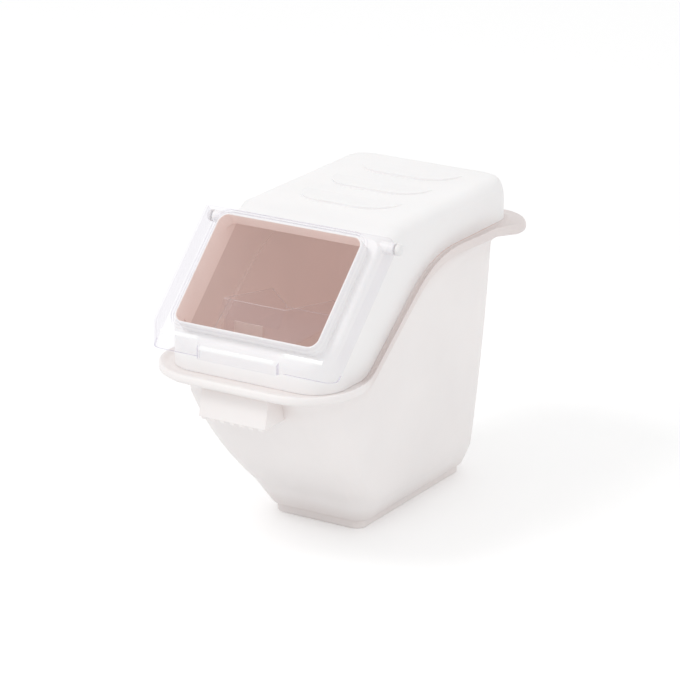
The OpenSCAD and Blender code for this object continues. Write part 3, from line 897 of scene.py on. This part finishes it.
def make_pads():
    """The stepped pads on the hood's top: each rises towards the front with a round front edge."""
    bm = bmesh.new()
    for k in range(PAD_COUNT):
        front = CREASE_Y + PAD_BACK + k * PAD_PITCH
        shape = [(x, max(v, -PAD_L)) for x, v in round_rect(PAD_W, 2 * PAD_L, PAD_R)]
        low = [(x, front + PAD_L + v, HOOD_TOP_H - PAD_SINK) for x, v in shape if v <= 0]
        high = [(x, y, HOOD_TOP_H - FIT_GAP + PAD_H * (front + PAD_L - y) / PAD_L) for x, y, z in low]
        loft(bm, [low, high])
    return soften(new_object("hood_pads", bm))


def lathe(bm, profile, side):
    """A turned shape on the pin's axis; the profile is (distance from the middle, radius)."""
    turns = [2 * math.pi * i / LATHE_STEPS for i in range(LATHE_STEPS)]
    rings = []
    for x, r in profile:
        rings.append([(side * x, PIVOT_Y + r * math.cos(a), PIVOT_Z + r * math.sin(a)) for a in turns])
    loft(bm, rings)


def make_bosses():
    bm = bmesh.new()
    for side in (-1, 1):
        lathe(bm, [(BOSS_X - SHANK_L, BOSS_D / 2), (BOSS_X, BOSS_D / 2)], side)
    return bevel(soften(new_object("hood_bosses", bm)), BOSS_GAP, EDGE_SEGMENTS)


def make_hook():
    """The bracket inside the hood that the scoop hangs on."""
    turn = math.radians(FLAP_ANGLE)
    ahead = HOOK_SHARE * FLAP_L * math.cos(turn)
    back = SCOOP_FRONT_Y - ahead
    foot = FRONT_RIM_H + HOOK_RISE
    top = SCOOP_RIM_Z - FIT_GAP - SCOOP_T / math.cos(turn) - (HOOK_T + ahead) * math.tan(turn)
    start = HOOD_FRONT_Y + HOOD_T / 2
    web = [(start, foot), (back, foot), (back, foot + HOOK_T), (start, foot + HOOK_T)]
    plate = [(back - HOOK_T, foot), (back, foot), (back, top), (back - HOOK_T, top)]
    bm = bmesh.new()
    for width, points in ((HOOK_WEB_W, web), (HOOK_W, plate)):
        prism(bm, SCOOP_MID_X - width / 2, SCOOP_MID_X + width / 2, points)
    return bevel(soften(new_object("hood_hook", bm)), FIT_GAP, SMALL_EDGE_SEGMENTS)


def make_pin(name, side):
    """A shank, a shoulder and a domed head, turned on the hinge's axis."""
    shoulder = BOSS_X + LID_T + BOSS_GAP + FIT_GAP
    profile = [(BOSS_X - SHANK_L, SHANK_D / 2), (BOSS_X, SHANK_D / 2), (BOSS_X, PIN_D / 2)]
    profile += [(shoulder, PIN_D / 2), (shoulder, HEAD_D / 2)]
    for a in quarter_turns(ROUND_STEPS)[1:-1]:
        profile.append((shoulder + HEAD_H * math.sin(a), HEAD_D / 2 * math.sqrt(math.cos(a))))
    bm = bmesh.new()
    lathe(bm, profile, side)
    return soften(new_object(name, bm))


EdgePlace = namedtuple("EdgePlace", "x y inward_x inward_y top_share")


def lid_z(y):
    return LID_TOP_Z + (y - LID_TOP_Y) * LID_SIN / LID_COS


def edge_arc(x, y, r, start, end, way):
    """Places on a round corner of the lid's edge; way is -1 round an inner and 1 round an outer middle."""
    made = []
    for i in range(ROUND_STEPS + 1):
        a = math.radians(lerp(start, end, i / ROUND_STEPS))
        out_x = math.cos(a)
        out_y = math.sin(a)
        made.append(EdgePlace(x + r * out_x, y + r * out_y, way * out_x, way * out_y, 0))
    return made


def lid_edge():
    """The lid's edge seen from above, from its top left corner round the front to its top right corner."""
    pull = PULL_W / 2
    side = LID_W / 2
    right = edge_arc(pull - PULL_R, PULL_Y + PULL_R, PULL_R, -QUARTER_TURN, 0, -1)
    fillet_x = pull + PULL_FILLET
    right += edge_arc(fillet_x, LID_FRONT_Y - PULL_FILLET, PULL_FILLET, HALF_TURN, QUARTER_TURN, 1)
    right += edge_arc(side - LID_R, LID_FRONT_Y + LID_R, LID_R, -QUARTER_TURN, 0, -1)
    start = LID_FRONT_Y + LID_R
    for i in range(1, FLAT_STEPS + 1):
        share = i / FLAT_STEPS
        right.append(EdgePlace(side, lerp(start, LID_TOP_Y, share), -1, 0, share))
    left = [EdgePlace(-p.x, p.y, -p.inward_x, p.inward_y, p.top_share) for p in reversed(right)]
    return left + right


def edge_point(p, inward, drop):
    y = p.y + p.inward_y * inward + p.top_share * drop * LID_COS * LID_SIN
    return (p.x + p.inward_x * inward, y, lid_z(y) - drop)


def lid_edge_rings():
    """Rings from the lid's upper face over the bend, down the skirt and back up inside."""
    edge = lid_edge()
    plane_drop = LID_T / LID_COS
    inner_r = BEND_R - LID_T
    turns = quarter_turns(ROUND_STEPS)
    feet = [min(SKIRT_DROP, lid_z(p.y) - LIP_FOOT_Z) for p in edge]
    rings = [[edge_point(p, BEND_R + HOLD, 0) for p in edge]]
    for a in turns:
        rings.append([edge_point(p, BEND_R * (1 - math.sin(a)), BEND_R * (1 - math.cos(a))) for p in edge])
    rings.append([edge_point(p, 0, foot) for p, foot in zip(edge, feet)])
    rings.append([(*edge_point(p, LID_T, foot)[:2], q[2]) for p, foot, q in zip(edge, feet, rings[-1])])
    for a in reversed(turns):
        inward = LID_T + inner_r * (1 - math.sin(a))
        drop = plane_drop + inner_r * (1 - math.cos(a))
        rings.append([edge_point(p, inward, drop) for p in edge])
    rings.append([edge_point(p, BEND_R + HOLD, plane_drop) for p in edge])
    return rings


def panel_rings(out, base, fillet, r):
    """Rings up the two steps of the window panel, from the lid's face to the panel's top."""
    turns = quarter_turns(ROUND_STEPS)
    step = base + PANEL_STEP_H
    levels = [(out + PANEL_STEP, base, step), (out, step, base + PANEL_H)]
    rings = [window_ring(out + PANEL_STEP + fillet + HOLD, base)]
    for grow, low, high in levels:
        for a in turns:
            out_by = fillet * (1 - math.sin(a))
            rings.append(window_ring(grow + out_by, low + fillet * (1 - math.cos(a))))
        for a in turns:
            rings.append(window_ring(grow - r + r * math.cos(a), high - r + r * math.sin(a)))
    rings.append(window_ring(out - r - HOLD, base + PANEL_H))
    return rings


def ring_edges(bm, row):
    return [bm.edges.get((a, b)) or bm.edges.new((a, b)) for a, b in zip(row, row[1:] + row[:1])]


def mark_lid_edges(piece):
    """Painted highlight on the straight front bends, painted dark shade on the pull's ends and the lip's
    foot.
    """
    places = len(lid_edge()) - 1
    middle = places // 2
    arc = ROUND_STEPS
    pull_end = range(middle + 1 + arc // 2, middle + arc + 2)
    lip = middle + 2 * arc + 2
    corner = range(lip, lip + arc + 1)
    bend_rows = range(BEND_END_STEPS, arc - BEND_END_STEPS)
    skirt_row = arc + 1
    foot_row = skirt_row + 1
    for row in range(foot_row + 1):
        for i in range(places):
            away = middle + abs(i - middle)
            face = piece.data.polygons[row * places + i]
            if row in bend_rows and away in (middle, lip):
                face.material_index = SECOND_MATERIAL
            if (row == skirt_row and away in pull_end) or (row == foot_row and away in corner):
                face.material_index = THIRD_MATERIAL


def make_lid():
    """One clear sheet: face, window panel, side skirts, front lip and pull."""
    bm = bmesh.new()
    edge_rows = add_rows(bm, lid_edge_rings())
    outer = add_rows(bm, panel_rings(PANEL_OUTER, 0, PANEL_FILLET, PANEL_ROUND))
    inner = add_rows(bm, panel_rings(PANEL_INNER, -LID_T, PANEL_ROUND, PANEL_FILLET))
    strip(bm, edge_rows, False)
    for rows, face_row in ((outer, edge_rows[0]), (inner, edge_rows[-1])):
        strip(bm, rows, True)
        bm.faces.new(rows[-1])
        rim = ring_edges(bm, face_row) + ring_edges(bm, rows[0])
        bmesh.ops.triangle_fill(bm, edges=rim, use_beauty=True)
    for end in (0, -1):
        bm.faces.new([row[end] for row in edge_rows])
    bm.faces.new((edge_rows[0][0], edge_rows[0][-1], edge_rows[-1][-1], edge_rows[-1][0]))
    piece = new_object("lid_cover", bm)
    for material in (lid_clear, lid_painted_highlight, lid_painted_shade):
        piece.data.materials.append(material)
    mark_lid_edges(piece)
    return soften(piece)


def make_ear(name, side):
    """The round lug under the skirt that the hinge pin passes through."""
    outer = side * LID_W / 2
    loop = []
    for i in range(2 * ROUND_STEPS + 1):
        a = math.radians(HALF_TURN + QUARTER_TURN * i / ROUND_STEPS)
        u = PIVOT_U + EAR_R * math.cos(a)
        w = EAR_R * math.sin(a) - PIVOT_DEPTH
        loop.append((LID_TOP_Y - u * LID_COS - w * LID_SIN, LID_TOP_Z - u * LID_SIN + w * LID_COS))
    bm = bmesh.new()
    prism(bm, outer, outer - side * LID_T, loop)
    return soften(new_object(name, bm))


def scoop_top(y):
    run = y - SCOOP_FRONT_Y
    knee = SCOOP_RIM_SHARE * SCOOP_L
    if run <= knee:
        return SCOOP_RIM_Z - SCOOP_RIM_DROP * run / knee
    low = SCOOP_FLOOR_Z + SCOOP_MOUTH_H
    return lerp(SCOOP_RIM_Z - SCOOP_RIM_DROP, low, (run - knee) / (SCOOP_L - knee))


def scoop_section(y, draw_in):
    """The scoop's round-cornered trough at a place along it, drawn in near its closed end."""
    half = SCOOP_W / 2 - draw_in
    floor = SCOOP_FLOOR_Z + draw_in
    top = max(scoop_top(y), floor + SCOOP_MOUTH_H - draw_in / 2)
    r = min(SCOOP_R, (top - floor) / 2)
    right = []
    for a in quarter_turns(ROUND_STEPS):
        right.append((SCOOP_MID_X + half - r + r * math.sin(a), y, floor + r - r * math.cos(a)))
    right.append((SCOOP_MID_X + half, y, top))
    left = [(2 * SCOOP_MID_X - x, y, z) for x, y, z in reversed(right)]
    return left + right


def make_scoop():
    """The bowl: a sheet from its round closed end to its mouth, given a wall."""
    bm = bmesh.new()
    sections = []
    for a in reversed(quarter_turns(ROUND_STEPS)):
        back = SCOOP_R * (1 - math.sin(a))
        sections.append(scoop_section(SCOOP_FRONT_Y + back, SCOOP_R * (1 - math.cos(a))))
    knee = SCOOP_RIM_SHARE * SCOOP_L
    sections.append(scoop_section(SCOOP_FRONT_Y + knee, 0))
    sections.append(scoop_section(SCOOP_FRONT_Y + SCOOP_L, 0))
    rows = add_rows(bm, sections)
    strip(bm, rows, False)
    bm.faces.new(rows[0])
    piece = new_object("scoop_bowl", bm)
    sheet = piece.modifiers.new("wall", "SOLIDIFY")
    sheet.thickness = SCOOP_T * MM
    sheet.offset = -1
    sheet.use_even_offset = True
    # The rim faces take the painted highlight
    sheet.material_offset_rim = SECOND_MATERIAL
    piece.data.materials.append(scoop_clear)
    piece.data.materials.append(scoop_painted_highlight)
    return soften(applied(piece))


def make_flap():
    turn = math.radians(FLAP_ANGLE)
    run = FLAP_L * math.cos(turn)
    drop = FLAP_L * math.sin(turn)
    under = (SCOOP_T * math.sin(turn), -SCOOP_T * math.cos(turn))
    edge = [(SCOOP_FRONT_Y, SCOOP_RIM_Z), (SCOOP_FRONT_Y - run, SCOOP_RIM_Z - drop)]
    points = edge + [(y + under[0], z + under[1]) for y, z in reversed(edge)]
    half = SCOOP_W / 2 - SCOOP_T
    bm = bmesh.new()
    prism(bm, SCOOP_MID_X - half, SCOOP_MID_X + half, points)
    return bevel(soften(new_object("scoop_flap", bm)), FLAP_EDGE, EDGE_SEGMENTS)


def shader(name):
    material = bpy.data.materials.new(name)
    material.use_nodes = True
    tree = material.node_tree
    return material, tree, tree.nodes["Principled BSDF"]


def map_range(tree, value, to_low, to_high, from_low=0, from_high=1):
    """A value carried from one range into another."""
    made = tree.nodes.new("ShaderNodeMapRange")
    made.inputs["From Min"].default_value = from_low
    made.inputs["From Max"].default_value = from_high
    made.inputs["To Min"].default_value = to_low
    made.inputs["To Max"].default_value = to_high
    tree.links.new(value, made.inputs["Value"])
    return made.outputs["Result"]


def combine(tree, operation, a, b):
    """One value from two, by a named sum."""
    made = tree.nodes.new("ShaderNodeMath")
    made.operation = operation
    tree.links.new(a, made.inputs[0])
    tree.links.new(b, made.inputs[1])
    return made.outputs["Value"]


def mix_shaders(tree, share, first, second):
    made = tree.nodes.new("ShaderNodeMixShader")
    tree.links.new(share, made.inputs["Fac"])
    tree.links.new(first, made.inputs[1])
    tree.links.new(second, made.inputs[2])
    return made.outputs["Shader"]


def noise(tree, kind):
    where = tree.nodes.new("ShaderNodeTexCoord")
    made = tree.nodes.new("ShaderNodeTexNoise")
    made.inputs["Scale"].default_value = kind.scale
    made.inputs["Detail"].default_value = kind.detail
    tree.links.new(where.outputs["Object"], made.inputs["Vector"])
    return made.outputs["Fac"]


def tint(tree, share, low, high, start=0, end=1):
    """A colour between two tones, by a share."""
    made = tree.nodes.new("ShaderNodeValToRGB")
    stops = made.color_ramp.elements
    for i, (position, tone) in enumerate(((start, low), (end, high))):
        stops[i].position = position
        stops[i].color = (*tone, 1)
    tree.links.new(share, made.inputs["Fac"])
    return made.outputs["Color"]


def grain(tree, bsdf):
    bump = tree.nodes.new("ShaderNodeBump")
    bump.inputs["Strength"].default_value = GRAIN_STRENGTH
    bump.inputs["Distance"].default_value = GRAIN_DEPTH
    tree.links.new(noise(tree, GRAIN_NOISE), bump.inputs["Height"])
    tree.links.new(bump.outputs["Normal"], bsdf.inputs["Normal"])


def cloudy(tree, bsdf, look, kind, gloss):
    """Faint clouds of colour, and the uneven gloss that is given."""
    colour = tint(tree, noise(tree, kind), look.low, look.high, NOISE_LOW, NOISE_HIGH)
    tree.links.new(colour, bsdf.inputs["Base Color"])
    tree.links.new(gloss, bsdf.inputs["Roughness"])


def paint_light_through(material, level):
    """Painted light: a low glow on inner faces, standing in for the daylight that comes through the thin
    wall.
    """
    bsdf = material.node_tree.nodes["Principled BSDF"]
    bsdf.inputs["Emission Color"].default_value = (*WALL_GLOW, 1)
    bsdf.inputs["Emission Strength"].default_value = level


def deepen(tree, share, deep):
    """Multiplies the base colour by a tint, by a share that runs from 0 to 1, to paint shade."""
    base = tree.nodes["Principled BSDF"].inputs["Base Color"]
    mixed = tree.nodes.new("ShaderNodeMixRGB")
    mixed.blend_type = "MULTIPLY"
    mixed.inputs["Color2"].default_value = (*deep, 1)
    tree.links.new(base.links[0].from_socket, mixed.inputs["Color1"])
    tree.links.new(share, mixed.inputs["Fac"])
    tree.links.new(mixed.outputs["Color"], base)


def paint_hollow_shade(material):
    """Painted shade: a warmer, deeper colour in the hollows, found by ambient occlusion."""
    tree = material.node_tree
    hollow = tree.nodes.new("ShaderNodeAmbientOcclusion")
    hollow.samples = HOLLOW_SAMPLES
    hollow.inputs["Distance"].default_value = HOLLOW_REACH
    share = map_range(tree, hollow.outputs["AO"], 1, 0, HOLLOW_LOW, HOLLOW_HIGH)
    deepen(tree, share, HOLLOW_SHADE_TINT)


def paint_slope_shade(material):
    """Painted shade: a deeper tone of the flange along the slope and the rear."""
    tree = material.node_tree
    mark = tree.nodes.new("ShaderNodeAttribute")
    mark.attribute_name = SLOPE_SHADE
    deepen(tree, mark.outputs["Fac"], SLOPE_SHADE_TINT)


def moulded(name):
    """Moulded plastic: faint cloudy colour, uneven gloss and a fine grain."""
    look = MOULDED_LOOKS[name]
    material, tree, bsdf = shader(name)
    patches = noise(tree, GLOSS_NOISE)
    gloss = map_range(tree, patches, look.rough_low, look.rough_high, NOISE_LOW, NOISE_HIGH)
    cloudy(tree, bsdf, look, CLOUD_NOISE, gloss)
    grain(tree, bsdf)
    bsdf.inputs["Subsurface Weight"].default_value = MILKY_SHARE
    bsdf.inputs["Subsurface Radius"].default_value = MILKY_REACH
    return material


def clear(name):
    """Thin clear plastic: mostly see-through, deeper in tone and glossier at a flat angle."""
    look = CLEAR_LOOKS[name]
    material, tree, bsdf = shader(name)
    patches = noise(tree, CLEAR_GLOSS_NOISE)
    gloss = map_range(tree, patches, CLEAR_ROUGH_LOW, CLEAR_ROUGH_HIGH, NOISE_LOW, NOISE_HIGH)
    cloudy(tree, bsdf, look, CLEAR_CLOUD_NOISE, gloss)
    slant = tree.nodes.new("ShaderNodeLayerWeight")
    slant.inputs["Blend"].default_value = CLEAR_EDGE_BLEND
    through = tree.nodes.new("ShaderNodeBsdfTransparent")
    tree.links.new(tint(tree, slant.outputs["Facing"], CLEAR_TINT, look.edge), through.inputs["Color"])
    bend = tree.nodes.new("ShaderNodeFresnel")
    bend.inputs["IOR"].default_value = CLEAR_IOR
    side = tree.nodes.new("ShaderNodeNewGeometry")
    front = map_range(tree, side.outputs["Backfacing"], SHEEN_SHARE, 0)
    sheen = combine(tree, "MULTIPLY", front, bend.outputs["Fac"])
    solid = map_range(tree, sheen, look.haze, 1)
    seen = mix_shaders(tree, solid, through.outputs["BSDF"], bsdf.outputs["BSDF"])
    path = tree.nodes.new("ShaderNodeLightPath")
    lit = combine(tree, "MAXIMUM", path.outputs["Is Shadow Ray"], path.outputs["Is Diffuse Ray"])
    unseen = tree.nodes.new("ShaderNodeBsdfTransparent")
    whole = mix_shaders(tree, lit, seen, unseen.outputs["BSDF"])
    tree.links.new(whole, tree.nodes["Material Output"].inputs["Surface"])
    return material


def finish_piece(piece, body, slot, material, *nodes):
    if not piece.data.materials:
        piece.data.materials.append(material)
    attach(piece, body)
    if nodes:
        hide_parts(*nodes)


def add_inside(piece, material, is_inside):
    """A second material, with painted shade, on the faces that look into the container."""
    piece.data.materials.append(material)
    for face in piece.data.polygons:
        if is_inside(face):
            face.material_index = SECOND_MATERIAL


def looks_in(face):
    """True for a face that is turned towards the middle of the hood."""
    return face.normal.dot(HOOD_MIDDLE - face.center) > 0


def looks_across(face):
    """True for a face of the window's collar that is turned towards the middle of the window."""
    return face.normal.dot(WINDOW_MIDDLE - face.center) > COLLAR_LOOK


white = moulded("white_plastic")
# Painted shade in the bin's hollows
paint_hollow_shade(white)
# Painted shade along the flange's slope and rear
paint_slope_shade(white)
hood_white = moulded("hood_plastic")
# Painted shade inside the container: a dark warm base colour in place of the white plastic
inside = moulded("shaded_inner_plastic")
# Painted light: the inner faces glow a little, for the light through the wall
paint_light_through(inside, WALL_GLOW_LEVEL)
shaded_frame = moulded("shaded_frame_plastic")
paint_light_through(shaded_frame, WALL_GLOW_LEVEL)
shaded_hook_plastic = moulded("shaded_hook_plastic")
paint_light_through(shaded_hook_plastic, HOOK_GLOW_LEVEL)
pin_white = moulded("pin_plastic")
lid_clear = clear("lid_clear")
lid_painted_highlight = clear("lid_painted_highlight")
lid_painted_shade = clear("lid_painted_shade")
scoop_clear = clear("scoop_clear")
scoop_painted_highlight = clear("scoop_painted_highlight")

bin_skin = make_bin()
finish_piece(bin_skin, "bin", "bin", white, "bin_body")
bottom_face = len(bin_skin.data.polygons) - END_FACES
inner_start = bottom_face - (INNER_STEPS + FOOT_STEPS + 1) * len(STATIONS)
# Painted shade on the bin's inner faces
add_inside(bin_skin, inside, lambda face: face.index >= inner_start and face.index != bottom_face)
finish_piece(make_grip(), "bin", "bin", white)
hood_shell = make_hood()
finish_piece(hood_shell, "hood", "hood", hood_white, "hood")
add_inside(hood_shell, inside, looks_in)
hood_collar = make_collar()
finish_piece(hood_collar, "hood", "hood", hood_white)
# Painted shade on the collar's faces that look across the window
add_inside(hood_collar, shaded_frame, looks_across)
finish_piece(make_liners(), "hood", "hood", shaded_frame)
finish_piece(make_pads(), "hood", "hood", hood_white)
finish_piece(make_bosses(), "hood", "hood", hood_white)
finish_piece(make_hook(), "hood", "hood", shaded_hook_plastic)
finish_piece(make_pin("pin_left", -1), "hood", "pivot", pin_white, "lid_pivot_left")
finish_piece(make_pin("pin_right", 1), "hood", "pivot", pin_white, "lid_pivot_right")
finish_piece(make_lid(), "lid", "lid", lid_clear, "window_lid")
finish_piece(make_ear("lid_ear_left", -1), "lid", "lid", lid_clear)
finish_piece(make_ear("lid_ear_right", 1), "lid", "lid", lid_clear)
finish_piece(make_scoop(), "scoop", "scoop", scoop_clear, "scoop")
finish_piece(make_flap(), "scoop", "scoop", scoop_clear)


def seen_ray(tree):
    """1 for rays that show the background, directly or in gloss and clear plastic."""
    path = tree.nodes.new("ShaderNodeLightPath")
    seen = path.outputs["Is Camera Ray"]
    for kind in ("Is Glossy Ray", "Is Transmission Ray"):
        seen = combine(tree, "MAXIMUM", seen, path.outputs[kind])
    return seen


def floor_stage():
    """A wide pale floor that keeps the object's shadow."""
    bm = bmesh.new()
    bmesh.ops.create_grid(bm, x_segments=1, y_segments=1, size=FLOOR_HALF_W / MM)
    floor = new_object("floor", bm)
    material, tree, bsdf = shader("floor_white")
    bsdf.inputs["Base Color"].default_value = (FLOOR_GREY, FLOOR_GREY, FLOOR_GREY, 1)
    bsdf.inputs["Roughness"].default_value = FLOOR_ROUGH
    bsdf.inputs["Emission Color"].default_value = (1, 1, 1, 1)
    tree.links.new(map_range(tree, seen_ray(tree), 0, FLOOR_GLOW), bsdf.inputs["Emission Strength"])
    floor.data.materials.append(material)


def aimed(at):
    """The turn that points a lamp or the camera at the object."""
    return (Vector(CAMERA_AIM) - Vector(at)).to_track_quat("-Z", "Y").to_euler()


def area_light(lamp):
    light = bpy.data.lights.new(lamp.name, "AREA")
    light.size = lamp.size
    light.energy = lamp.power
    made = bpy.data.objects.new(lamp.name, light)
    made.location = lamp.at
    made.rotation_euler = aimed(lamp.at)
    bpy.context.scene.collection.objects.link(made)


def world_light():
    """An even white world, a little lower as light than as background."""
    world = bpy.data.worlds.new("studio")
    bpy.context.scene.world = world
    world.use_nodes = True
    tree = world.node_tree
    background = tree.nodes["Background"]
    background.inputs["Color"].default_value = (1, 1, 1, 1)
    tree.links.new(map_range(tree, seen_ray(tree), WORLD_LEVEL, 1), background.inputs["Strength"])


floor_stage()
world_light()
for lamp in LAMPS:
    area_light(lamp)

camera = bpy.data.objects.new("camera", bpy.data.cameras.new("camera"))
camera.data.lens = CAMERA_LENS
camera.data.sensor_width = CAMERA_SENSOR
camera.data.clip_end = CAMERA_REACH
camera.location = CAMERA_AT
camera.rotation_euler = aimed(CAMERA_AT)
bpy.context.scene.collection.objects.link(camera)
bpy.context.scene.camera = camera
bpy.context.scene.view_settings.view_transform = "Standard"
bpy.context.scene.cycles.transparent_max_bounces = CLEAR_LAYERS
